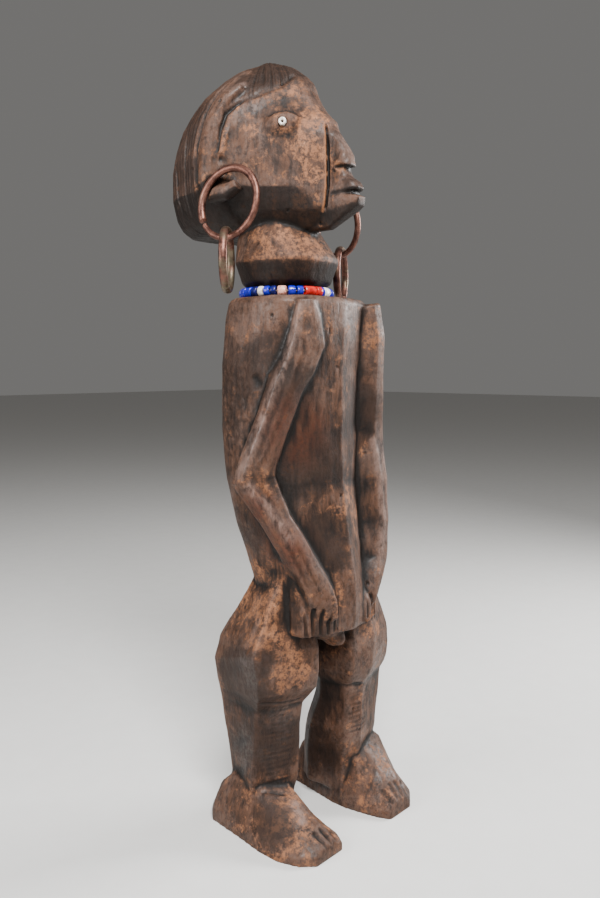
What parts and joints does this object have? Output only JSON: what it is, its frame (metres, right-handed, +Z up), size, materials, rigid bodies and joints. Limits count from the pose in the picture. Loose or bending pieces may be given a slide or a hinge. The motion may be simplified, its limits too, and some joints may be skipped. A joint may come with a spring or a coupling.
{
  "type": "carved wooden figure",
  "caption": "Standing carved wooden figure with a wedge-shaped head, bent legs and hands on the belly, with linked metal ear rings, bead eyes and a glass bead necklace",
  "frame": {"origin": "centre of the bounding box in plan, on the ground under the soles", "axes": "+Z up, the figure faces -Y, its left side is at +X"},
  "size_m": [0.1134, 0.118, 0.3857],
  "materials": {
    "wood": "dark carved hardwood, worn to orange brown on the high places, dull with a slight sheen",
    "copper": "worn copper with a brown and green patina",
    "brass": "tarnished brass with a green patina",
    "thread": "waxed brown thread",
    "blue_glass": "opaque blue glass",
    "navy_glass": "opaque dark blue glass",
    "white_glass": "opaque white glass",
    "pink_glass": "opaque pink glass",
    "red_glass": "opaque red glass"
  },
  "bodies": {
    "root": {"carved_figure": "wood", "left_ear_ring": "copper", "left_eye_bead": "white_glass", "left_hanging_ring": "brass", "necklace_bead_01": "blue_glass", "necklace_bead_02": "blue_glass", "necklace_bead_03": "blue_glass", "necklace_bead_04": "navy_glass", "necklace_bead_05": "white_glass", "necklace_bead_06": "blue_glass", "necklace_bead_07": "navy_glass", "necklace_bead_08": "pink_glass", "necklace_bead_09": "blue_glass", "necklace_bead_10": "blue_glass", "necklace_bead_11": "red_glass", "necklace_bead_12": "red_glass", "necklace_bead_13": "blue_glass", "necklace_bead_14": "white_glass", "necklace_bead_15": "blue_glass", "necklace_bead_16": "blue_glass", "necklace_bead_17": "blue_glass", "necklace_bead_18": "blue_glass", "necklace_bead_19": "navy_glass", "necklace_bead_20": "white_glass", "necklace_bead_21": "blue_glass", "necklace_bead_22": "navy_glass", "necklace_bead_23": "pink_glass", "necklace_bead_24": "blue_glass", "necklace_bead_25": "blue_glass", "necklace_bead_26": "red_glass", "necklace_bead_27": "red_glass", "necklace_bead_28": "blue_glass", "necklace_bead_29": "white_glass", "necklace_bead_30": "blue_glass", "necklace_bead_31": "blue_glass", "necklace_bead_32": "blue_glass", "necklace_thread": "thread", "right_ear_ring": "copper", "right_eye_bead": "white_glass", "right_hanging_ring": "brass"}
  },
  "joints": []
}
